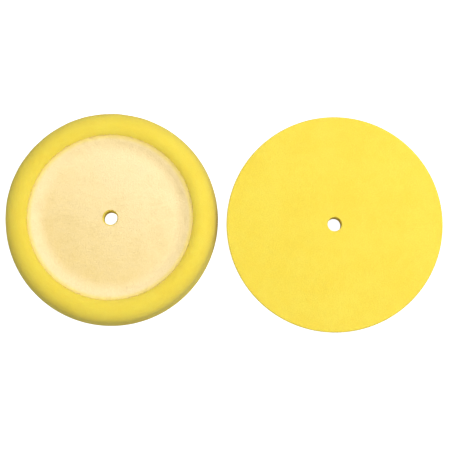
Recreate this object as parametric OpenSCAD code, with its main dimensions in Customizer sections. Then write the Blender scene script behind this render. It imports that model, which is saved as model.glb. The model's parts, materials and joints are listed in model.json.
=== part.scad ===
// A pair of foam polishing pads for a rotary polisher, lying side by side on a flat surface.
// One lies with its dished back up, and the other is turned over, with its flat working face up.
// Each pad is a disc of foam with a dished back, a film of adhesive in the dish, and a disc of
// loop fabric on the film, which grips the hooked face of the polisher's backing plate.
// Millimetres, Z up. The origin is the middle of the pair, on the surface that they lie on.

/* [Foam disc] */
// Diameter of a pad across its rim
pad_d = 203; // [170:1:245]
// Height of a pad, from its working face to the crest of its rim
pad_h = 32; // [27:0.5:38]
// Thickness of the foam between the working face and the floor of the dish
floor_t = 20; // [15:0.5:24]
// Rounding of the edge round the working face
face_edge_r = 1.5; // [0.5:0.25:4]
// Diameter of the centring hole through the foam
hole_d = 13; // [8:0.5:20]

/* [Rim and dish] */
// Radius of the outer side of the rim, which is rolled over
roll_r = 13; // [9:0.5:18]
// How much the pad's side draws in between the working face and the rim
side_taper = 2.2; // [0:0.2:5]
// Radius of the inner side of the rim, where it turns down into the dish
lip_r = 10.5; // [8:0.5:16]
// Radius of the hollow curve between the rim's inner side and the floor of the dish
cove_r = 21.5; // [14:0.5:28]

/* [Backing] */
// Thickness of the adhesive film
film_t = 0.3; // [0.1:0.1:0.8]
// Thickness of the loop fabric, with its pile
fabric_t = 1.6; // [0.8:0.1:3]
// Width of bare foam between the centring hole and the fabric round it
hole_margin = 1; // [0.5:0.25:3]
// How far the fabric's edge stops short of where the dish's wall turns over, along the wall
fabric_setback = 0.4; // [0:0.1:3]
// How far the film's edge stops short of the fabric's edge, along the wall
film_setback = 1.5; // [0.5:0.25:4]

/* [Layout] */
// Gap between the two pads, along X
pad_gap = 8; // [2:0.5:40]
// How much further back the pad with its back up lies than the other one
pad_stagger = 7; // [0:0.2:30]

/* [Hidden] */
$fn = 144;

pad_r = pad_d / 2;
hole_r = hole_d / 2;
dish_depth = pad_h - floor_t;
side_top = pad_h - roll_r;
crest_r = pad_r - side_taper - roll_r;

// The dish's wall is the hollow curve and then the lip, which meet where both lean the same way.
curve_sum = cove_r + lip_r;
wall_run = sqrt(2 * curve_sum * dish_depth - dish_depth * dish_depth);
wall_lean = asin(wall_run / curve_sum);
floor_r = crest_r - wall_run;

// Angles up the hollow curve, from the floor of the dish, at which the two backing layers end
fabric_end = wall_lean - degrees_along(fabric_setback);
film_end = fabric_end - degrees_along(film_setback);

// Places in a pad's own half section, which is drawn as [radius, height] with the back up
cove_centre = [floor_r, floor_t + cove_r];
lip_centre = [crest_r, pad_h - lip_r];
roll_centre = [crest_r, side_top];
face_edge_centre = [pad_r - face_edge_r, face_edge_r];

pad_place = [(pad_d + pad_gap) / 2, -pad_stagger / 2, 0];

foam_colour = [0.97, 0.86, 0.30];
film_colour = [0.90, 0.84, 0.62];
fabric_colour = [0.98, 0.90, 0.68];

// The angle that a length along the hollow curve spans
function degrees_along(length) = length / cove_r * 180 / PI;

// A slice of a disc about the origin, of less than a half turn
module slice(r, from, to) {
    reach = 2 * r;
    middle = (from + to) / 2;
    intersection() {
        circle(r);
        polygon([
            [0, 0],
            reach * [cos(from), sin(from)],
            reach * [cos(middle), sin(middle)],
            reach * [cos(to), sin(to)]
        ]);
    }
}

// Half section of the foam: the bed under the dish, the dish's wall, the rim and the outer side
module foam_section() {
    translate([hole_r, 0]) square([crest_r - hole_r, floor_t]);
    difference() {
        polygon([[floor_r, 0], [crest_r, 0], lip_centre, cove_centre]);
        translate(cove_centre) circle(cove_r);
    }
    translate(lip_centre) slice(lip_r, 90, 90 + wall_lean);
    translate(roll_centre) slice(roll_r, 0, 90);
    translate(face_edge_centre) slice(face_edge_r, -90, 0);
    polygon([
        [crest_r, 0],
        [face_edge_centre.x, 0],
        face_edge_centre,
        [pad_r, face_edge_r],
        [crest_r + roll_r, side_top],
        roll_centre
    ]);
}

// Half section of a layer laid in the dish, between two heights above the foam
module layer_section(low, high, end_angle) {
    start_r = hole_r + hole_margin;
    translate([start_r, floor_t + low]) square([floor_r - start_r, high - low]);
    translate(cove_centre) difference() {
        slice(cove_r - low, -90, end_angle - 90);
        circle(cove_r - high);
    }
}

module foam_disc() {
    color(foam_colour) rotate_extrude() foam_section();
}

module adhesive_film() {
    color(film_colour) rotate_extrude() layer_section(0, film_t, film_end);
}

module loop_fabric() {
    color(fabric_colour) rotate_extrude() layer_section(film_t, film_t + fabric_t, fabric_end);
}

// Lays a pad down with its back up
module back_up() {
    translate([-pad_place.x, -pad_place.y, 0]) children();
}

// Lays a pad down on its rim, with its working face up
module face_up() {
    translate(pad_place) translate([0, 0, pad_h]) rotate([180, 0, 0]) children();
}

module back_up_foam() { back_up() foam_disc(); }
module back_up_film() { back_up() adhesive_film(); }
module back_up_loop_fabric() { back_up() loop_fabric(); }
module face_up_foam() { face_up() foam_disc(); }
module face_up_film() { face_up() adhesive_film(); }
module face_up_loop_fabric() { face_up() loop_fabric(); }

back_up_foam();
back_up_film();
back_up_loop_fabric();
face_up_foam();
face_up_film();
face_up_loop_fabric();
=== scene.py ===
"""A pair of foam polishing pads for a rotary polisher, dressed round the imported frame.

One pad lies with its dished, fabric-lined back up and the other with its flat working face up.
Each pad is a foam disc, a film of adhesive and a disc of loop fabric.  Lengths are in metres.
"""

import json
import logging
import math
from dataclasses import dataclass, field
from enum import Enum
from random import Random
from typing import Any

import bmesh
import bpy
from mathutils import Matrix, Vector, noise

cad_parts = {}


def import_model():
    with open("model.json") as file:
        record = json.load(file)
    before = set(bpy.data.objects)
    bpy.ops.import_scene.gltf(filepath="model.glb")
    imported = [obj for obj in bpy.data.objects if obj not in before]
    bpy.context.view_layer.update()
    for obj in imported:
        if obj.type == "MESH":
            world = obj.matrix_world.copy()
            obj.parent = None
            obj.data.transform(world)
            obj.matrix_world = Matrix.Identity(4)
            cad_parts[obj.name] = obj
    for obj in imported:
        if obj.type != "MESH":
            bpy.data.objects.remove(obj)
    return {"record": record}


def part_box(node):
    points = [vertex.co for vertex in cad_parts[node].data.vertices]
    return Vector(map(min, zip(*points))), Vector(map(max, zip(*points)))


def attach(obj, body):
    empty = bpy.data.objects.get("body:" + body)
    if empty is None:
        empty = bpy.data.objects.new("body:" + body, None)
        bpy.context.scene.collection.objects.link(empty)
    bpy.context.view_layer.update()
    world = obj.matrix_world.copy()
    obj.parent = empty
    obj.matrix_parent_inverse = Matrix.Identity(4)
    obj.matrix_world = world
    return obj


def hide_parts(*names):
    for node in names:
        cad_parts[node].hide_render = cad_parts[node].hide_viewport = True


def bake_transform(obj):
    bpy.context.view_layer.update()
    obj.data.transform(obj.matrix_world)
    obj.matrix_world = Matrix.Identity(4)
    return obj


frame: dict[str, Any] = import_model()

LOG = logging.getLogger("polishing_pads")
MM = 0.001
FULL_TURN = 2 * math.pi
QUARTER_TURN = math.pi / 2
LATHE_DOUBLINGS = 4
SECTION_GAP = 0.001 * MM
SEAM_GAP = 0.002 * MM
SHARP_EDGE = math.radians(50)
# Name of the fabric's mesh share of painted light: paler towards the key light's side and up the dish's
# wall.
NAP_AND_PAINTED_LIGHT = "nap_and_painted_light"
THIN = "thin"
WHITE = (1.0, 1.0, 1.0)
Rgb = tuple[float, float, float]


def from_srgb(red: int, green: int, blue: int) -> Rgb:
    """Turns a display colour of 0 to 255 a channel into the linear one that shaders use.

    Args:
        red: The red channel.
        green: The green channel.
        blue: The blue channel.

    Returns:
        The linear colour.
    """
    toe, offset, gain, power, full = 0.04045, 0.055, 12.92, 2.4, 255
    shares = [channel / full for channel in (red, green, blue)]
    return tuple(s / gain if s <= toe else ((s + offset) / (1 + offset)) ** power for s in shares)


def smooth_step(low: float, high: float, value: float) -> float:
    """Eases from 0 at low to 1 at high.

    Args:
        low: Where the easing starts.
        high: Where it ends, above low.
        value: The place to evaluate.

    Returns:
        A share from 0 to 1.
    """
    share = min(max((value - low) / (high - low), 0.0), 1.0)
    return share * share * (3 - 2 * share)


class Lay(Enum):
    """Which way up a pad lies, by the first words of its nodes' and bodies' names."""

    BACK_UP = "back_up"
    FACE_UP = "face_up"


# ---------------------------------------------------------------------------------------------
# Finishes
# ---------------------------------------------------------------------------------------------


class NodeGraph:
    """A thin wrapper round a node tree, so that each finish reads as a list of steps."""

    def __init__(self, tree: bpy.types.NodeTree) -> None:
        """Wraps a tree.

        Args:
            tree: The material's or group's node tree.
        """
        self.tree = tree

    def add(self, kind: str, **settings: Any) -> bpy.types.Node:
        """Adds a node and sets its properties.

        Args:
            kind: The node's type name.
            settings: Properties of the node.

        Returns:
            The new node.
        """
        node = self.tree.nodes.new(kind)
        for name, value in settings.items():
            setattr(node, name, value)
        return node

    def feed(self, node: bpy.types.Node, socket: str | int, source: Any) -> None:
        """Links an input to an output socket, or sets its value.

        Args:
            node: The node that receives.
            socket: Its input's name or number.
            source: An output socket, or a value.
        """
        target = node.inputs[socket]
        if isinstance(source, bpy.types.NodeSocket):
            self.tree.links.new(source, target)
        elif target.type == "RGBA":
            target.default_value = (*source, 1.0)
        else:
            target.default_value = source

    def math(self, operation: str, first: Any, second: Any = 0.0) -> bpy.types.NodeSocket:
        """Adds a maths node.

        Args:
            operation: The node's operation, such as MULTIPLY.
            first: The first socket or value.
            second: The second socket or value.

        Returns:
            The result's socket.
        """
        node = self.add("ShaderNodeMath", operation=operation)
        self.feed(node, 0, first)
        self.feed(node, 1, second)
        return node.outputs[0]

    def blend_values(self, share: float, first: Any, second: Any) -> bpy.types.NodeSocket:
        """Adds two values, weighted.

        Args:
            share: The second value's weight; the first one has the rest.
            first: The first value's socket.
            second: The second value's socket.

        Returns:
            The sum's socket.
        """
        first_part = self.math("MULTIPLY", first, 1 - share)
        second_part = self.math("MULTIPLY", second, share)
        return self.math("ADD", first_part, second_part)

    def mix_values(self, share: Any, first: Any, second: Any) -> bpy.types.NodeSocket:
        """Mixes two values by a share that changes over the surface.

        Args:
            share: How much of the second value there is.
            first: The first value or its socket.
            second: The second value or its socket.

        Returns:
            The mixed value's socket.
        """
        node = self.add("ShaderNodeMix", data_type="FLOAT")
        share_input, first_input, second_input, value_output = 0, 2, 3, 0
        self.feed(node, share_input, share)
        self.feed(node, first_input, first)
        self.feed(node, second_input, second)
        return node.outputs[value_output]

    def mix(self, share: Any, first: Any, second: Any) -> bpy.types.NodeSocket:
        """Mixes two colours.

        Args:
            share: How much of the second colour there is.
            first: The first colour.
            second: The second colour.

        Returns:
            The mixed colour's socket.
        """
        node = self.add("ShaderNodeMix", data_type="RGBA")
        share_input, first_input, second_input, colour_output = 0, 6, 7, 2
        self.feed(node, share_input, share)
        self.feed(node, first_input, first)
        self.feed(node, second_input, second)
        return node.outputs[colour_output]

    def spread(self, value: Any, low: float, high: float) -> bpy.types.NodeSocket:
        """Stretches a range of values to 0 to 1, with soft ends.

        Args:
            value: The value's socket.
            low: What becomes 0.
            high: What becomes 1.

        Returns:
            The stretched value's socket.
        """
        node = self.add("ShaderNodeMapRange", interpolation_type="SMOOTHSTEP")
        self.feed(node, "Value", value)
        self.feed(node, "From Min", low)
        self.feed(node, "From Max", high)
        return node.outputs["Result"]

    def stretched(self, vector: Any, scale: tuple[float, float, float], turn: float = 0.0) -> Any:
        """Turns and scales coordinates about the Z axis.

        Args:
            vector: The coordinates' socket.
            scale: The factor along each axis.
            turn: The turn about Z, in degrees.

        Returns:
            The new coordinates' socket.
        """
        node = self.add("ShaderNodeMapping", vector_type="TEXTURE")
        self.feed(node, "Vector", vector)
        self.feed(node, "Rotation", (0.0, 0.0, math.radians(turn)))
        self.feed(node, "Scale", scale)
        return node.outputs["Vector"]

    def noise(self, vector: Any, scale: Any, detail: float = 2.0) -> bpy.types.NodeSocket:
        """Adds a noise texture.

        Args:
            vector: The coordinates' socket.
            scale: Features to the metre.
            detail: Octaves of finer noise.

        Returns:
            The noise's value, about 0.5.
        """
        node = self.add("ShaderNodeTexNoise")
        self.feed(node, "Vector", vector)
        self.feed(node, "Scale", scale)
        self.feed(node, "Detail", detail)
        return node.outputs["Fac"]

    def bump(self, height: Any, depth: float, normal: Any = None) -> bpy.types.NodeSocket:
        """Adds a bump.

        Args:
            height: The height's socket, from 0 to 1.
            depth: How far 1 stands above 0.
            normal: A bump that this one lies on, or None.

        Returns:
            The bumped normal's socket.
        """
        node = self.add("ShaderNodeBump")
        self.feed(node, "Height", height)
        self.feed(node, "Distance", depth)
        if normal is not None:
            self.feed(node, "Normal", normal)
        return node.outputs["Normal"]

    def use(self, group: bpy.types.NodeTree, **inputs: Any) -> bpy.types.Node:
        """Places a node group.

        Args:
            group: The group.
            inputs: What each of its inputs receives, with underscores for spaces.

        Returns:
            The group's node.
        """
        node = self.add("ShaderNodeGroup", node_tree=group)
        for name, source in inputs.items():
            self.feed(node, name.replace("_", " "), source)
        return node


def start_group(name: str, inputs: dict[str, str], outputs: dict[str, str]) -> NodeGraph:
    """Makes an empty shader node group with its sockets.

    Args:
        name: The group's name.
        inputs: Each input's name and kind, Vector or Float.
        outputs: Each output's name and kind.

    Returns:
        The group's graph.
    """
    tree = bpy.data.node_groups.new(name, "ShaderNodeTree")
    for way, sockets in (("INPUT", inputs), ("OUTPUT", outputs)):
        for label, kind in sockets.items():
            tree.interface.new_socket(label, in_out=way, socket_type=f"NodeSocket{kind}")
    return NodeGraph(tree)


def build_mottle_group() -> bpy.types.NodeTree:
    """Builds soft blotches in two sizes, a share from 0 to 1 over the surface.

    Returns:
        The group.
    """
    graph = start_group("Soft Mottle", {"Vector": "Vector", "Per Metre": "Float"}, {"Share": "Float"})
    given = graph.add("NodeGroupInput")
    finer_by, finer_weight, low, high = 4.7, 0.35, 0.36, 0.64
    broad = graph.noise(given.outputs["Vector"], given.outputs["Per Metre"])
    fine_scale = graph.math("MULTIPLY", given.outputs["Per Metre"], finer_by)
    fine = graph.noise(given.outputs["Vector"], fine_scale)
    result = graph.add("NodeGroupOutput")
    graph.feed(result, "Share", graph.spread(graph.blend_values(finer_weight, broad, fine), low, high))
    return graph.tree


def build_grain_group() -> bpy.types.NodeTree:
    """Builds an even, fine-grained roughness of the surface, finer than a cell or a loop.

    Returns:
        The group.
    """
    graph = start_group("Fine Grain", {"Vector": "Vector", "Per Metre": "Float"}, {"Height": "Float"})
    given = graph.add("NodeGroupInput")
    detail, low, high = 4.0, 0.3, 0.7
    grain = graph.noise(given.outputs["Vector"], given.outputs["Per Metre"], detail)
    result = graph.add("NodeGroupOutput")
    graph.feed(result, "Height", graph.spread(grain, low, high))
    return graph.tree


@dataclass(frozen=True)
class SharedEffects:
    """The shader node groups that more than one finish places."""

    mottle: bpy.types.NodeTree = field(default_factory=build_mottle_group)
    grain: bpy.types.NodeTree = field(default_factory=build_grain_group)


def start_material(name: str) -> tuple[bpy.types.Material, NodeGraph, bpy.types.Node, Any]:
    """Makes a material with a Principled shader and object coordinates.

    Args:
        name: The material's name.

    Returns:
        The material, its graph, the shader node and the coordinates' socket.
    """
    material = bpy.data.materials.new(name)
    material.use_nodes = True
    graph = NodeGraph(material.node_tree)
    shader = material.node_tree.nodes["Principled BSDF"]
    where = graph.add("ShaderNodeTexCoord").outputs["Object"]
    return material, graph, shader, where


def set_inputs(shader: bpy.types.Node, settings: dict[str, Any]) -> None:
    """Sets a shader's inputs to fixed values.

    Args:
        shader: The shader node.
        settings: Each input's name and value.
    """
    for label, value in settings.items():
        shader.inputs[label].default_value = value


@dataclass(frozen=True)
class FoamFinish:
    """Open-cell polyurethane foam: fine struts round pores with painted shade in them, dyed a little
    unevenly.
    """

    name: str = "yellow_foam"
    light_tone: Rgb = from_srgb(238, 216, 79)
    deep_tone: Rgb = from_srgb(237, 212, 73)
    # The pore tone is painted shade inside the cells.
    pore_painted_shade_tone: Rgb = from_srgb(224, 190, 45)
    cell: float = 0.62 * MM
    patch: float = 34 * MM
    pore_depth: float = 0.16 * MM
    grain_depth: float = 0.05 * MM
    pore_painted_shade: float = 0.4
    grains_to_cell: float = 6.0
    roughness: float = 0.92
    shine: float = 0.18
    sheen: float = 0.25
    sheen_spread: float = 0.6
    sheen_tone: Rgb = from_srgb(255, 247, 190)
    softness: float = 0.2
    light_reach: float = 4 * MM
    light_reach_by_colour: Rgb = (1.0, 0.7, 0.2)

    def cells(self, graph: NodeGraph, where: Any) -> bpy.types.NodeSocket:
        """Draws the cells that the cut surface opens.

        Args:
            graph: The material's graph.
            where: The coordinates' socket.

        Returns:
            How much of a pore there is, from 0 on a strut to 1 deep in a cell.
        """
        jitter_size, jitter = 2.1 * self.cell, 0.35 * self.cell
        strut, heart = 0.62, 0.12
        drift = graph.add("ShaderNodeTexNoise")
        graph.feed(drift, "Vector", where)
        graph.feed(drift, "Scale", 1 / jitter_size)
        pushed = graph.add("ShaderNodeVectorMath", operation="MULTIPLY_ADD")
        graph.feed(pushed, 0, drift.outputs["Color"])
        graph.feed(pushed, 1, (jitter, jitter, jitter))
        graph.feed(pushed, 2, where)
        cell = graph.add("ShaderNodeTexVoronoi", feature="F1")
        graph.feed(cell, "Vector", pushed.outputs[0])
        graph.feed(cell, "Scale", 1 / self.cell)
        return graph.spread(cell.outputs["Distance"], strut, heart)

    def build(self, effects: SharedEffects) -> bpy.types.Material:
        """Builds the material.

        Args:
            effects: The shared node groups.

        Returns:
            The material.
        """
        material, graph, shader, where = start_material(self.name)
        mottle = graph.use(effects.mottle, Vector=where, Per_Metre=1 / self.patch)
        grain = graph.use(effects.grain, Vector=where, Per_Metre=self.grains_to_cell / self.cell)
        pore = self.cells(graph, where)
        tone = graph.mix(mottle.outputs["Share"], self.light_tone, self.deep_tone)
        # Painted shade: the pores darken towards the pore tone.
        shade = graph.math("MULTIPLY", pore, self.pore_painted_shade)
        graph.feed(shader, "Base Color", graph.mix(shade, tone, self.pore_painted_shade_tone))
        rough = graph.bump(grain.outputs["Height"], self.grain_depth)
        height = graph.math("SUBTRACT", 1.0, pore)
        graph.feed(shader, "Normal", graph.bump(height, self.pore_depth, rough))
        settings = {
            "Roughness": self.roughness,
            "Specular IOR Level": self.shine,
            "Sheen Weight": self.sheen,
            "Sheen Roughness": self.sheen_spread,
            "Sheen Tint": (*self.sheen_tone, 1.0),
            "Subsurface Weight": self.softness,
            "Subsurface Radius": self.light_reach_by_colour,
            "Subsurface Scale": self.light_reach,
        }
        set_inputs(shader, settings)
        return material


@dataclass(frozen=True)
class LoopFabricFinish:
    """Warp-knitted nylon loop fabric: rows of loops, tinted between a lit tip tone and a shaded base
    tone by painted light and shade.

    The mesh carries two shares: a share of painted light, from 0 for painted shade to 1 for painted
    light, paler towards the key light's side of the floor and up the dish's wall; and thin, which is 1
    where the cut edge is so thin that the foam's colour comes through.
    tips, and thin, which is 1 where the cut edge is so thin that the foam's colour comes through.
    """

    name: str = "cream_loop_fabric"
    # Painted light and shade: the tip tone is the lit end and the base tone the shaded end of the
    # fabric's cream; the tip tone has more red than its other channels, to keep the painted shade on
    # the wall warm.
    painted_light_tip_tone: Rgb = from_srgb(255, 233, 182)
    painted_shade_base_tone: Rgb = from_srgb(235, 208, 138)
    foam_tone: Rgb = from_srgb(245, 220, 108)
    loop_pitch: float = 1.15 * MM
    fibre: float = 0.22 * MM
    patch: float = 15 * MM
    loop_depth: float = 0.22 * MM
    fibre_depth: float = 0.12 * MM
    # The loops' and fibres' height paints shade between the loops.
    painted_loop_shade_weight: float = 0.24
    mottle_weight: float = 0.14
    thin_weight: float = 0.85
    fibre_weight: float = 0.45
    fibre_turns: tuple[float, float] = (20.0, 115.0)
    fibre_length: float = 4.5
    loop_length: float = 1.35
    loop_scatter: float = 0.6
    roughness: float = 0.95
    shine: float = 0.15
    sheen: float = 0.1
    sheen_spread: float = 0.5

    def fibres(self, graph: NodeGraph, where: Any, turn: float) -> bpy.types.NodeSocket:
        """Draws napped fibres that lie one way.

        Args:
            graph: The material's graph.
            where: The coordinates' socket.
            turn: Which way they lie, in degrees from X.

        Returns:
            The fibres' height, from 0 to 1.
        """
        low, high = 0.35, 0.65
        along = graph.stretched(where, (self.fibre_length, 1.0, 1.0), turn)
        return graph.spread(graph.noise(along, 1 / self.fibre), low, high)

    def loops(self, graph: NodeGraph, where: Any) -> bpy.types.NodeSocket:
        """Draws the rows of loops, each a little blob, with the rows along X.

        Args:
            graph: The material's graph.
            where: The coordinates' socket.

        Returns:
            The loops' height, from 0 to 1.
        """
        edge, top = 0.7, 0.1
        loop = graph.add("ShaderNodeTexVoronoi", feature="SMOOTH_F1")
        graph.feed(loop, "Vector", graph.stretched(where, (self.loop_length, 1.0, 1.0)))
        graph.feed(loop, "Scale", 1 / self.loop_pitch)
        graph.feed(loop, "Randomness", self.loop_scatter)
        return graph.spread(loop.outputs["Distance"], edge, top)

    def build(self, effects: SharedEffects) -> bpy.types.Material:
        """Builds the material.

        Args:
            effects: The shared node groups.

        Returns:
            The material.
        """
        material, graph, shader, where = start_material(self.name)
        mottle = graph.use(effects.mottle, Vector=where, Per_Metre=1 / self.patch).outputs["Share"]
        loops = self.loops(graph, where)
        one_way, other_way = (self.fibres(graph, where, turn) for turn in self.fibre_turns)
        fibres = graph.mix_values(mottle, one_way, other_way)
        height = graph.blend_values(self.fibre_weight, loops, fibres)
        # Painted light and shade: the painted light share, the loops' height and the mottle mix the
        # shaded base tone with the lit tip tone.
        painted_light_share = graph.add("ShaderNodeAttribute", attribute_name=NAP_AND_PAINTED_LIGHT).outputs["Fac"]
        thin_share = graph.add("ShaderNodeAttribute", attribute_name=THIN).outputs["Fac"]
        lit = graph.blend_values(self.painted_loop_shade_weight, painted_light_share, height)
        lit = graph.blend_values(self.mottle_weight, lit, mottle)
        tone = graph.mix(lit, self.painted_shade_base_tone, self.painted_light_tip_tone)
        bare = graph.math("MULTIPLY", thin_share, self.thin_weight)
        graph.feed(shader, "Base Color", graph.mix(bare, tone, self.foam_tone))
        low = graph.bump(loops, self.loop_depth)
        graph.feed(shader, "Normal", graph.bump(fibres, self.fibre_depth, low))
        settings = {
            "Roughness": self.roughness,
            "Specular IOR Level": self.shine,
            "Sheen Weight": self.sheen,
            "Sheen Roughness": self.sheen_spread,
            "Sheen Tint": (*self.painted_light_tip_tone, 1.0),
        }
        set_inputs(shader, settings)
        return material


@dataclass(frozen=True)
class FilmFinish:
    """A thin film of hot-melt adhesive, cloudy where it has soaked into the foam."""

    name: str = "adhesive_film"
    clear_tone: Rgb = from_srgb(226, 206, 140)
    cloudy_tone: Rgb = from_srgb(240, 226, 172)
    patch: float = 5 * MM
    ripple: float = 0.7 * MM
    ripple_depth: float = 0.05 * MM
    roughness_range: tuple[float, float] = (-1.0, 2.5)

    def build(self, effects: SharedEffects) -> bpy.types.Material:
        """Builds the material.

        Args:
            effects: The shared node groups.

        Returns:
            The material.
        """
        material, graph, shader, where = start_material(self.name)
        mottle = graph.use(effects.mottle, Vector=where, Per_Metre=1 / self.patch).outputs["Share"]
        grain = graph.use(effects.grain, Vector=where, Per_Metre=1 / self.ripple).outputs["Height"]
        graph.feed(shader, "Base Color", graph.mix(mottle, self.clear_tone, self.cloudy_tone))
        graph.feed(shader, "Roughness", graph.spread(mottle, *self.roughness_range))
        graph.feed(shader, "Normal", graph.bump(grain, self.ripple_depth))
        return material


@dataclass(frozen=True)
class Finishes:
    """Every finish on the pads, built once."""

    foam: bpy.types.Material
    fabric: bpy.types.Material
    film: bpy.types.Material

    @classmethod
    def build(cls) -> "Finishes":
        """Builds the finishes and the effects that they share.

        Returns:
            The finishes.
        """
        effects = SharedEffects()
        return cls(
            foam=FoamFinish().build(effects),
            fabric=LoopFabricFinish().build(effects),
            film=FilmFinish().build(effects),
        )


# ---------------------------------------------------------------------------------------------
# Shapes
# ---------------------------------------------------------------------------------------------


class SectionPen:
    """Draws a half section in the XZ plane of a bmesh, one stretch after another."""

    def __init__(self, mesh: bmesh.types.BMesh, radius: float, height: float) -> None:
        """Puts the pen down.

        Args:
            mesh: The bmesh to draw in.
            radius: How far from the axis the section starts.
            height: How high it starts.
        """
        self.mesh = mesh
        self.tip = mesh.verts.new((radius, 0.0, height))

    def line(self, radius: float, height: float, steps: int = 1) -> None:
        """Draws a straight stretch.

        Args:
            radius: How far from the axis it ends.
            height: How high it ends.
            steps: How many edges it has.
        """
        step = (Vector((radius, 0.0, height)) - self.tip.co) / steps
        self.sweep(steps, dvec=step, cent=(0.0, 0.0, 0.0), angle=0.0)

    def arc(self, centre: Vector, turn: float, steps: int) -> None:
        """Draws an arc about a centre.

        Args:
            centre: The centre, as radius and height.
            turn: The angle, positive where the section turns to the left.
            steps: How many edges it has.
        """
        self.sweep(steps, cent=(centre.x, 0.0, centre.y), angle=turn)

    def sweep(self, steps: int, **move: Any) -> None:
        """Sweeps the pen's tip along, leaving edges behind it.

        Args:
            steps: How many edges it leaves.
            move: The turn or the shift, as the spin operator takes it.
        """
        axis = (0.0, -1.0, 0.0)
        made = bmesh.ops.spin(self.mesh, geom=[self.tip], axis=axis, steps=steps, **move)
        self.tip = next(item for item in made["geom_last"] if isinstance(item, bmesh.types.BMVert))


@dataclass(frozen=True)
class PadShape:
    """The sizes of one pad and where it lies, from the frame and the pad's own roundings."""

    lay: Lay
    centre: Vector
    radius: float
    height: float
    bed: float
    hole: float
    film: float
    fabric: float
    face_edge: float = 1.5 * MM
    roll: float = 13.0 * MM
    side_taper: float = 2.2 * MM
    lip: float = 10.5 * MM
    cove: float = 21.5 * MM
    hole_margin: float = 1.0 * MM
    fabric_setback: float = 0.4 * MM
    film_setback: float = 1.5 * MM

    @classmethod
    def from_frame(cls, lay: Lay) -> "PadShape":
        """Reads a pad's sizes from the boxes of its nodes and from its mounts.

        Args:
            lay: Which way up it lies.

        Returns:
            The pad's shape.
        """
        low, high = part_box(f"{lay.value}_foam")
        film_low, film_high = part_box(f"{lay.value}_film")
        fabric_low, fabric_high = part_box(f"{lay.value}_loop_fabric")
        mounts = {mount["name"]: mount for mount in frame["record"]["mounts"]}
        seat = mounts[f"{lay.value}_plate_seat"]["pos_m"][2]
        hole = mounts[f"{lay.value}_centring_hole"]["dims"]["r_mm"] * MM
        bed, fabric_start = film_low.z, fabric_low.z
        if lay is Lay.FACE_UP:
            bed, fabric_start, seat = (high.z - z for z in (film_high.z, fabric_high.z, seat))
        middle = (low + high) / 2
        return cls(
            lay=lay,
            centre=Vector((middle.x, middle.y, low.z)),
            radius=(high.x - low.x) / 2,
            height=high.z - low.z,
            bed=bed,
            hole=hole,
            film=fabric_start - bed,
            fabric=seat - fabric_start,
        )

    @property
    def crest(self) -> float:
        """Radius of the rim's highest ring."""
        return self.radius - self.side_taper - self.roll

    @property
    def curve_sum(self) -> float:
        """The distance between the centres of the cove and of the lip."""
        return self.cove + self.lip

    @property
    def wall_run(self) -> float:
        """How far the dish's wall reaches, from its floor to the crest."""
        depth = self.height - self.bed
        return math.sqrt(2 * self.curve_sum * depth - depth * depth)

    @property
    def wall_lean(self) -> float:
        """The steepest angle of the dish's wall."""
        return math.asin(self.wall_run / self.curve_sum)

    @property
    def floor(self) -> float:
        """Radius of the dish's flat floor."""
        return self.crest - self.wall_run

    @property
    def cove_centre(self) -> Vector:
        """Centre of the hollow curve, as radius and height."""
        return Vector((self.floor, self.bed + self.cove))

    @property
    def lip_centre(self) -> Vector:
        """Centre of the lip's curve, as radius and height."""
        return Vector((self.crest, self.height - self.lip))

    @property
    def roll_centre(self) -> Vector:
        """Centre of the rolled outer side, as radius and height."""
        return Vector((self.crest, self.height - self.roll))

    def wall_point(self, distance: float, lift: float) -> Vector:
        """Gives a point over the wall of the dish.

        Args:
            distance: How far up the wall it is, from the floor's edge.
            lift: How far it stands off the foam.

        Returns:
            The point, as radius and height.
        """
        past_cove = distance - self.cove * self.wall_lean
        if past_cove <= 0:
            angle = distance / self.cove
            return self.cove_centre + Vector((math.sin(angle), -math.cos(angle))) * (self.cove - lift)
        angle = self.wall_lean - past_cove / self.lip
        return self.lip_centre + Vector((-math.sin(angle), math.cos(angle))) * (self.lip + lift)

    @property
    def fabric_end(self) -> float:
        """Angle up the cove at which the fabric stops."""
        return self.wall_lean - self.fabric_setback / self.cove

    @property
    def film_end(self) -> float:
        """Angle up the cove at which the film stops."""
        return self.fabric_end - self.film_setback / self.cove

    @property
    def fabric_cut(self) -> float:
        """Radius of the flat disc that the fabric is cut to."""
        return self.floor + (self.cove - self.film) * self.fabric_end

    @property
    def placing(self) -> Matrix:
        """Carries a pad drawn with its back up, about the origin, to where it lies."""
        if self.lay is Lay.BACK_UP:
            return Matrix.Translation(self.centre)
        turned = Matrix.Rotation(math.pi, 4, "X")
        return Matrix.Translation(self.centre + Vector((0, 0, self.height))) @ turned

    def node(self, piece: str) -> str:
        """Names one of this pad's nodes."""
        return f"{self.lay.value}_{piece}"

    def at_height(self, height: float) -> Vector:
        """Gives the point of the pad's axis at a height above its working face."""
        return self.placing @ Vector((0.0, 0.0, height))


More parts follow.
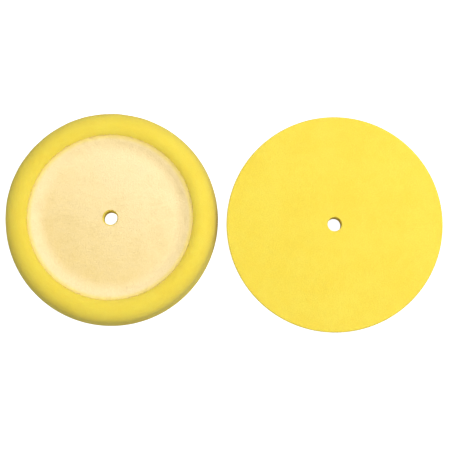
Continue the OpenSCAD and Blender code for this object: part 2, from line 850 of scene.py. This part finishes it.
def lathe(mesh: bmesh.types.BMesh, steps: int) -> None:
    """Turns a closed half section about the Z axis into a closed solid.

    Only the first sector is spun. It is then doubled until it goes all the way round, which takes
    far less time than one long spin.

    Args:
        mesh: The bmesh that holds the section.
        steps: How many segments the first sector has.
    """
    bmesh.ops.remove_doubles(mesh, verts=mesh.verts, dist=SECTION_GAP)
    middle, up = Vector(), Vector((0.0, 0.0, 1.0))
    sector = FULL_TURN / 2**LATHE_DOUBLINGS
    section = mesh.verts[:] + mesh.edges[:]
    bmesh.ops.spin(mesh, geom=section, cent=middle, axis=up, angle=sector, steps=steps)
    for doubling in range(LATHE_DOUBLINGS):
        whole = mesh.verts[:] + mesh.edges[:] + mesh.faces[:]
        copy = bmesh.ops.duplicate(mesh, geom=whole)["geom"]
        copied = [item for item in copy if isinstance(item, bmesh.types.BMVert)]
        turned = Matrix.Rotation(sector * 2**doubling, 3, "Z")
        bmesh.ops.rotate(mesh, cent=middle, matrix=turned, verts=copied)
    bmesh.ops.remove_doubles(mesh, verts=mesh.verts, dist=SEAM_GAP)
    bmesh.ops.recalc_face_normals(mesh, faces=mesh.faces)


def finish_piece(
    mesh: bmesh.types.BMesh, name: str, placing: Matrix, material: bpy.types.Material
) -> bpy.types.Object:
    """Places a bmesh, and makes it a smooth-shaded object at the origin.

    Args:
        mesh: The bmesh, which is freed.
        name: The piece's name.
        placing: Carries the mesh to its place.
        material: The piece's finish.

    Returns:
        The piece.
    """
    bmesh.ops.transform(mesh, matrix=placing, verts=mesh.verts)
    data = bpy.data.meshes.new(name)
    mesh.to_mesh(data)
    mesh.free()
    data.materials.append(material)
    data.shade_smooth()
    data.set_sharp_from_angle(angle=SHARP_EDGE)
    piece = bpy.data.objects.new(name, data)
    bpy.context.scene.collection.objects.link(piece)
    return piece


@dataclass(frozen=True)
class FoamDisc:
    """The foam of one pad: a flat face, a rolled rim and a dish, with the unevenness of cut foam."""

    shape: PadShape
    sector_steps: int = 26
    wander: float = 0.45 * MM
    wander_size: float = 60 * MM
    dimple: float = 0.16 * MM
    dimple_size: float = 11 * MM
    face_hollow: float = 0.25 * MM
    hole_round: float = 0.9 * MM
    crest_share: float = 0.35
    seed_spread: float = 10.0

    def draw(self, mesh: bmesh.types.BMesh) -> None:
        """Draws the half section, from the hole's edge on the working face round to itself.

        Args:
            mesh: The bmesh to draw in.
        """
        s, soft = self.shape, self.hole_round
        mouth_steps, hole_steps, floor_steps, cove_steps, lip_steps = 4, 14, 34, 20, 14
        roll_steps, side_steps, face_edge_steps, face_steps = 22, 10, 8, 58
        pen = SectionPen(mesh, s.hole + soft, 0.0)
        pen.arc(Vector((s.hole + soft, soft)), -QUARTER_TURN, mouth_steps)
        pen.line(s.hole, s.bed - soft, hole_steps)
        pen.arc(Vector((s.hole + soft, s.bed - soft)), -QUARTER_TURN, mouth_steps)
        pen.line(s.floor, s.bed, floor_steps)
        pen.arc(s.cove_centre, s.wall_lean, cove_steps)
        pen.arc(s.lip_centre, -s.wall_lean, lip_steps)
        pen.arc(s.roll_centre, -QUARTER_TURN, roll_steps)
        pen.line(s.radius, s.face_edge, side_steps)
        pen.arc(Vector((s.radius - s.face_edge, s.face_edge)), -QUARTER_TURN, face_edge_steps)
        pen.line(s.hole + soft, 0.0, face_steps)

    def uneven(self, mesh: bmesh.types.BMesh) -> None:
        """Makes the rim wander a little and dimple softly, and hollows the face by a hair.

        Args:
            mesh: The turned solid.
        """
        s = self.shape
        seed = s.centre * self.seed_spread
        rim_start, rim_end = s.crest - s.lip, s.crest + s.lip / 2
        side_start, crest_start = s.bed / 3, s.height - s.lip / 3
        for vert in mesh.verts:
            radius = math.hypot(vert.co.x, vert.co.y)
            outward = Vector((vert.co.x, vert.co.y, 0.0)) / radius
            on_rim = smooth_step(rim_start, rim_end, radius)
            above = smooth_step(0.0, side_start, vert.co.z)
            slow = noise.noise(vert.co / self.wander_size + seed)
            quick = noise.noise(vert.co / self.dimple_size + seed)
            below_crest = 1 - smooth_step(crest_start, s.height, vert.co.z)
            push = on_rim * above * (self.crest_share + (1 - self.crest_share) * below_crest)
            vert.co += outward * push * (slow * self.wander + quick * self.dimple)
            if vert.co.z < s.face_edge / 2:
                inner = smooth_step(s.hole, s.hole * 2, radius)
                vert.co.z += inner * self.face_hollow * max(slow + quick / 3, 0.0)

    def build(self, finishes: Finishes) -> bpy.types.Object:
        """Builds the disc.

        Args:
            finishes: The pads' finishes.

        Returns:
            The piece.
        """
        s = self.shape
        mesh = bmesh.new()
        self.draw(mesh)
        lathe(mesh, self.sector_steps)
        self.uneven(mesh)
        piece = finish_piece(mesh, s.node("foam_disc"), s.placing, finishes.foam)
        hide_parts(s.node("foam"))
        s.node("pad")
        s.node("backing")
        s.at_height(0.0)
        s.at_height(s.bed)
        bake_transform(piece)
        return piece


@dataclass(frozen=True)
class DishLayer:
    """A layer laid in a pad's dish, between two heights above the foam.

    A layer with a thin_over thins towards its edge, and its edge sinks to the foam.
    """

    shape: PadShape
    low: float
    high: float
    end: float
    thin_over: float = 0.0
    thin_edge: float = 0.0
    sink_over: float = 1.5 * MM
    sunk_share: float = 0.1
    sector_steps: int = 22

    def draw(self, mesh: bmesh.types.BMesh) -> None:
        """Draws the layer's closed half section.

        Args:
            mesh: The bmesh to draw in.
        """
        s = self.shape
        start = s.hole + s.hole_margin
        floor_steps, cove_steps, thin_steps, side_steps = 46, 20, 6, 2
        sinks = self.thin_over > 0.0
        thin_angle = self.thin_over / s.cove
        sink_angle = self.sink_over / s.cove if sinks else 0.0
        length = s.cove * self.end
        edge_lift = self.low * self.sunk_share if sinks else self.low
        edge_low = s.wall_point(length, edge_lift)
        edge_high = s.wall_point(length, edge_lift + self.thin_edge if sinks else self.high)
        under = s.wall_point(length - s.cove * sink_angle, self.low)
        pen = SectionPen(mesh, start, s.bed + self.low)
        pen.line(start, s.bed + self.high, side_steps)
        pen.line(s.floor, s.bed + self.high, floor_steps)
        pen.arc(s.cove_centre, self.end - thin_angle, cove_steps)
        if sinks:
            pen.line(edge_high.x, edge_high.y, thin_steps)
        pen.line(edge_low.x, edge_low.y, 1 if sinks else side_steps)
        if sinks:
            pen.line(under.x, under.y, side_steps)
        pen.arc(s.cove_centre, sink_angle - self.end, cove_steps)
        pen.line(start, s.bed + self.low, floor_steps)

    def turn(self) -> bmesh.types.BMesh:
        """Turns the layer's section into a closed solid.

        Returns:
            The solid, about the origin and with its back up.
        """
        mesh = bmesh.new()
        self.draw(mesh)
        lathe(mesh, self.sector_steps)
        return mesh


@dataclass(frozen=True)
class LoopFabric:
    """The disc of loop fabric, pressed into the dish, so that it puckers a little up the wall."""

    shape: PadShape
    puckers: int = 52
    pucker_height: float = 0.16 * MM
    lump: float = 0.12 * MM
    lump_size: float = 5 * MM
    thin_over: float = 6.5 * MM
    thin_edge: float = 0.12 * MM
    # Painted light: the fabric is paler towards this heading across the floor, and paler up the wall,
    # less on the wall away from the light.
    painted_light_heading: float = math.radians(58)
    painted_light_reach: float = 45 * MM
    painted_light_middle: float = 0.45
    painted_light_change: float = 0.42
    far_wall_painted_shade: float = 0.35
    bare_over: float = 5.0 * MM
    pucker_wander: float = 2.5
    pucker_wander_size: float = 20 * MM
    pucker_patches: float = 3.0
    usual_strength: float = 0.5
    steepest_pile: float = 0.3
    seed_spread: float = 7.0

    def painted_light_at(self, place: Vector, up_wall: float) -> float:
        """Gives the share of painted light: paler towards the key light's side across the floor, and
        paler still up the wall, less on the wall away from the light.

        Args:
            place: Where on the disc it is.
            up_wall: How far up the wall it is, from 0 to 1.

        Returns:
            The share, from 0 for painted shade to 1 for painted light.
        """
        heading = Vector((math.cos(self.painted_light_heading), math.sin(self.painted_light_heading), 0.0))
        toward_light = self.painted_light_middle + self.painted_light_change * place.dot(heading) / self.painted_light_reach
        toward_light = min(max(toward_light, 0.0), 1.0)
        wall_painted_light = 1 - self.far_wall_painted_shade * toward_light
        return toward_light + (wall_painted_light - toward_light) * up_wall

    def lift(self, place: Vector, up_wall: float, seed: Vector) -> float:
        """Gives how far a pucker or a lump raises the pile.

        Args:
            place: Where on the disc it is.
            up_wall: How far up the wall it is, from 0 to 1.
            seed: Shifts the noise, so that no two pads are alike.

        Returns:
            The height.
        """
        angle = math.atan2(place.y, place.x)
        around = Vector((math.cos(angle), math.sin(angle), 0.0)) * self.pucker_patches
        strength = self.usual_strength + noise.noise(around + seed)
        wander = self.pucker_wander * noise.noise(place / self.pucker_wander_size + seed)
        wave = math.sin(self.puckers * angle + wander)
        lump = noise.noise(place / self.lump_size + seed)
        return up_wall * strength * wave * self.pucker_height + lump * self.lump

    def nap_and_painted_light(self, mesh: bmesh.types.BMesh) -> None:
        """Raises the puckers and the soft lumps of the pile, and marks the share of painted light.

        Args:
            mesh: The turned layer.
        """
        s = self.shape
        seed = s.centre * self.seed_spread
        middle = s.bed + s.film + s.fabric / 2
        painted_light_layer = mesh.verts.layers.float.new(NAP_AND_PAINTED_LIGHT)
        thin_layer = mesh.verts.layers.float.new(THIN)
        edge = s.wall_point(s.cove * s.fabric_end, 0.0).x
        wall_start, wall_end = s.floor - s.cove / 6, s.floor + s.cove / 2
        mesh.normal_update()
        for vert in mesh.verts:
            radius = math.hypot(vert.co.x, vert.co.y)
            up_wall = smooth_step(wall_start, wall_end, radius)
            vert[painted_light_layer] = self.painted_light_at(vert.co, up_wall)
            vert[thin_layer] = smooth_step(edge - self.bare_over, edge, radius)
            on_floor = radius < s.floor and vert.co.z > middle and vert.normal.z > 0
            if on_floor or vert.normal.z > self.steepest_pile:
                vert.co += vert.normal * self.lift(vert.co, up_wall, seed)

    def build(self, finishes: Finishes, foam: bpy.types.Object) -> bpy.types.Object:
        """Builds the fabric and ties it to its body.

        Args:
            finishes: The pads' finishes.
            foam: The foam disc that it lies on; not used.

        Returns:
            The piece.
        """
        s = self.shape
        layer = DishLayer(
            shape=s,
            low=s.film,
            high=s.film + s.fabric,
            end=s.fabric_end,
            thin_over=self.thin_over,
            thin_edge=self.thin_edge,
        )
        mesh = layer.turn()
        self.nap_and_painted_light(mesh)
        piece = finish_piece(mesh, s.node("loop_disc"), s.placing, finishes.fabric)
        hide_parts(s.node("loop_fabric"))
        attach(piece, s.node("backing"))
        return piece


@dataclass(frozen=True)
class EdgeFibres:
    """The fibres that the die leaves loose round the fabric's cut edge, lying over the bare foam."""

    shape: PadShape
    count: int = 2600
    steps: int = 4
    thickness: float = 0.09 * MM
    lengths: tuple[float, float] = (0.8 * MM, 3.4 * MM)
    start_inside: float = 1.6 * MM
    clear: float = 0.14 * MM
    rise: float = 0.4 * MM
    widest_lean: float = 1.1
    curl: float = 0.6 * MM
    least_inside: float = 0.2
    tip_share: float = 0.5
    bareness: float = 0.3
    fabric_thin_over: float = LoopFabric.thin_over
    seed: int = 11

    def template(self) -> bpy.types.Mesh:
        """Makes a straight fibre, one unit long in X and as thick as two units in Y and Z.

        Returns:
            The fibre's mesh.
        """
        mesh = bmesh.new()
        sides = 3
        end = bmesh.ops.create_circle(mesh, segments=sides, radius=1.0, cap_ends=True)["verts"]
        bmesh.ops.rotate(mesh, matrix=Matrix.Rotation(QUARTER_TURN, 3, "Y"), verts=end)
        step = Vector((1.0 / self.steps, 0.0, 0.0))
        ring = mesh.verts[:] + mesh.edges[:] + mesh.faces[:]
        bmesh.ops.spin(mesh, geom=ring, dvec=step, steps=self.steps, axis=(1.0, 0.0, 0.0))
        bmesh.ops.recalc_face_normals(mesh, faces=mesh.faces)
        data = bpy.data.meshes.new("edge_fibre")
        mesh.to_mesh(data)
        mesh.free()
        return data

    def lay(self, fibre: list[bmesh.types.BMVert], dice: Random) -> None:
        """Bends one straight fibre over the wall of the dish.

        Args:
            fibre: The fibre's vertices.
            dice: Where its length, its lean and its curl come from.
        """
        s = self.shape
        turn = dice.uniform(0.0, FULL_TURN)
        length = self.lengths[0] + (self.lengths[1] - self.lengths[0]) * dice.random() ** 2
        lean = dice.uniform(-self.widest_lean, self.widest_lean)
        start = s.cove * s.fabric_end - dice.uniform(self.least_inside, 1.0) * self.start_inside
        curl = dice.uniform(-self.curl, self.curl)
        rise = dice.uniform(0.0, self.rise)
        for vert in fibre:
            share, across, above = vert.co
            thick = self.thickness * (1.0 - (1.0 - self.tip_share) * share)
            bow = math.sin(math.pi * share)
            out = start + share * length * math.cos(lean)
            aside = share * length * math.sin(lean) + bow * curl + across * thick
            under = self.thin_lift(out)
            point = s.wall_point(out, under + self.clear + bow * rise + above * thick)
            angle = turn + aside / point.x
            vert.co = Vector((point.x * math.cos(angle), point.x * math.sin(angle), point.y))

    def thin_lift(self, out: float) -> float:
        """Gives how high the top of the fabric's thinned edge stands over the foam.

        Args:
            out: The distance up the wall.

        Returns:
            The height, which is 0 past the edge.
        """
        s = self.shape
        inside = max(s.cove * s.fabric_end - out, 0.0)
        return s.fabric * min(inside / self.fabric_thin_over, 1.0)

    def build(self, finishes: Finishes) -> bpy.types.Object:
        """Builds the fibres and ties them to the backing's body.

        Args:
            finishes: The pads' finishes.

        Returns:
            The piece.
        """
        s = self.shape
        dice = Random(self.seed)
        fibre = self.template()
        mesh = bmesh.new()
        for _ in range(self.count):
            already = len(mesh.verts)
            mesh.from_mesh(fibre)
            mesh.verts.ensure_lookup_table()
            self.lay(mesh.verts[already:], dice)
        painted_light_layer = mesh.verts.layers.float.new(NAP_AND_PAINTED_LIGHT)
        thin_layer = mesh.verts.layers.float.new(THIN)
        # The loose fibres get the full share of painted light, so they take the lit tip tone.
        for vert in mesh.verts:
            vert[painted_light_layer] = 1.0
            vert[thin_layer] = self.bareness
        bpy.data.meshes.remove(fibre)
        piece = finish_piece(mesh, s.node("edge_fibres"), s.placing, finishes.fabric)
        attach(piece, s.node("backing"))
        return piece


@dataclass(frozen=True)
class AdhesiveFilm:
    """The film that bonds the fabric to the foam."""

    shape: PadShape

    def build(self, finishes: Finishes) -> bpy.types.Object:
        """Builds the film and ties it to its body.

        Args:
            finishes: The pads' finishes.

        Returns:
            The piece.
        """
        s = self.shape
        mesh = DishLayer(shape=s, low=0.0, high=s.film, end=s.film_end).turn()
        piece = finish_piece(mesh, s.node("adhesive"), s.placing, finishes.film)
        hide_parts(s.node("film"))
        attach(piece, s.node("backing"))
        return piece


@dataclass(frozen=True)
class PolishingPad:
    """One whole pad: foam, film, fabric and the fabric's loose edge fibres."""

    shape: PadShape

    def build(self, finishes: Finishes) -> list[bpy.types.Object]:
        """Builds the pad's pieces.

        Args:
            finishes: The pads' finishes.

        Returns:
            The pieces, from the working face to the back.
        """
        foam = FoamDisc(self.shape).build(finishes)
        film = AdhesiveFilm(self.shape).build(finishes)
        fabric = LoopFabric(self.shape).build(finishes, foam)
        fibres = EdgeFibres(self.shape).build(finishes)
        return [foam, film, fabric, fibres]


# ---------------------------------------------------------------------------------------------
# Studio
# ---------------------------------------------------------------------------------------------


@dataclass(frozen=True)
class Studio:
    """A pale floor, a soft key light from the back right, a wide one overhead, and the camera."""

    floor_size: float = 8.0
    floor_drop: float = 0.2 * MM
    floor_tone: Rgb = (0.45, 0.45, 0.45)
    floor_glow: float = 1.0
    floor_roughness: float = 0.9
    floor_shine: float = 0.1
    sky: float = 0.425
    key_from: Vector = field(default_factory=lambda: Vector((0.46, 0.24, 0.97)))
    key_size: float = 0.6
    key_power: float = 7.8
    overhead_from: Vector = field(default_factory=lambda: Vector((0.0, -0.35, 2.4)))
    overhead_size: float = 2.2
    overhead_power: float = 19.6
    camera_rise: float = 85.0
    camera_distance: float = 1.6
    camera_width: float = 0.426
    camera_aim: Vector = field(default_factory=lambda: Vector((2.7 * MM, -2.9 * MM, 16 * MM)))
    sensor: float = 36.0
    sight: float = 50.0

    def build_floor(self) -> None:
        """Lays the floor."""
        mesh = bmesh.new()
        bmesh.ops.create_grid(mesh, x_segments=1, y_segments=1, size=self.floor_size / 2)
        material, graph, shader, _ = start_material("studio_floor")
        settings = {
            "Base Color": (*self.floor_tone, 1.0),
            "Roughness": self.floor_roughness,
            "Specular IOR Level": self.floor_shine,
            "Emission Color": (*WHITE, 1.0),
        }
        set_inputs(shader, settings)
        seen = graph.add("ShaderNodeLightPath").outputs["Is Camera Ray"]
        graph.feed(shader, "Emission Strength", graph.math("MULTIPLY", seen, self.floor_glow))
        under_pads = Matrix.Translation((0.0, 0.0, -self.floor_drop))
        floor = finish_piece(mesh, "studio_floor", under_pads, material)

    def build_sky(self) -> None:
        """Sets the even light from all round, which shows white behind the floor."""
        world = bpy.data.worlds.new("studio_sky")
        bpy.context.scene.world = world
        world.use_nodes = True
        graph = NodeGraph(world.node_tree)
        background = world.node_tree.nodes["Background"]
        seen = graph.add("ShaderNodeLightPath").outputs["Is Camera Ray"]
        graph.feed(background, "Strength", graph.mix_values(seen, self.sky, 1.0))
        graph.feed(background, "Color", WHITE)

    def hang_light(self, name: str, place: Vector, size: float, power: float) -> None:
        """Hangs a round soft light, turned to the middle of the pads.

        Args:
            name: The light's name.
            place: Where it hangs.
            size: Its diameter.
            power: Its power in watts.
        """
        light = bpy.data.lights.new(name, "AREA")
        light.shape = "DISK"
        light.size = size
        light.energy = power
        lamp = bpy.data.objects.new(name, light)
        lamp.location = place
        lamp.rotation_euler = (-place).to_track_quat("-Z", "Y").to_euler()
        bpy.context.scene.collection.objects.link(lamp)

    def build_camera(self) -> None:
        """Sets up the camera, nearly overhead and a little towards the front."""
        camera = bpy.data.cameras.new("camera")
        camera.sensor_width = self.sensor
        camera.lens = self.sensor * self.camera_distance / self.camera_width
        camera.clip_end = self.sight
        holder = bpy.data.objects.new("camera", camera)
        rise = math.radians(self.camera_rise)
        back = Vector((0.0, -math.cos(rise), math.sin(rise)))
        holder.location = self.camera_aim + back * self.camera_distance
        holder.rotation_euler = (-back).to_track_quat("-Z", "Y").to_euler()
        bpy.context.scene.collection.objects.link(holder)
        bpy.context.scene.camera = holder

    def build(self) -> None:
        """Builds the whole studio."""
        self.build_camera()
        self.build_floor()
        self.build_sky()
        self.hang_light("key_softbox", self.key_from, self.key_size, self.key_power)
        self.hang_light("overhead_softbox", self.overhead_from, self.overhead_size, self.overhead_power)
        bpy.context.scene.view_settings.view_transform = "Standard"


def main() -> None:
    """Builds the studio and the two pads."""
    logging.basicConfig(level=logging.INFO, format="%(name)s: %(message)s")
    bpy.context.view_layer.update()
    Studio().build()
    finishes = Finishes.build()
    for lay in Lay:
        pad = PolishingPad(PadShape.from_frame(lay))
        for piece in pad.build(finishes):
            LOG.info("%s has %d faces", piece.name, len(piece.data.polygons))


if __name__ == "__main__":
    main()
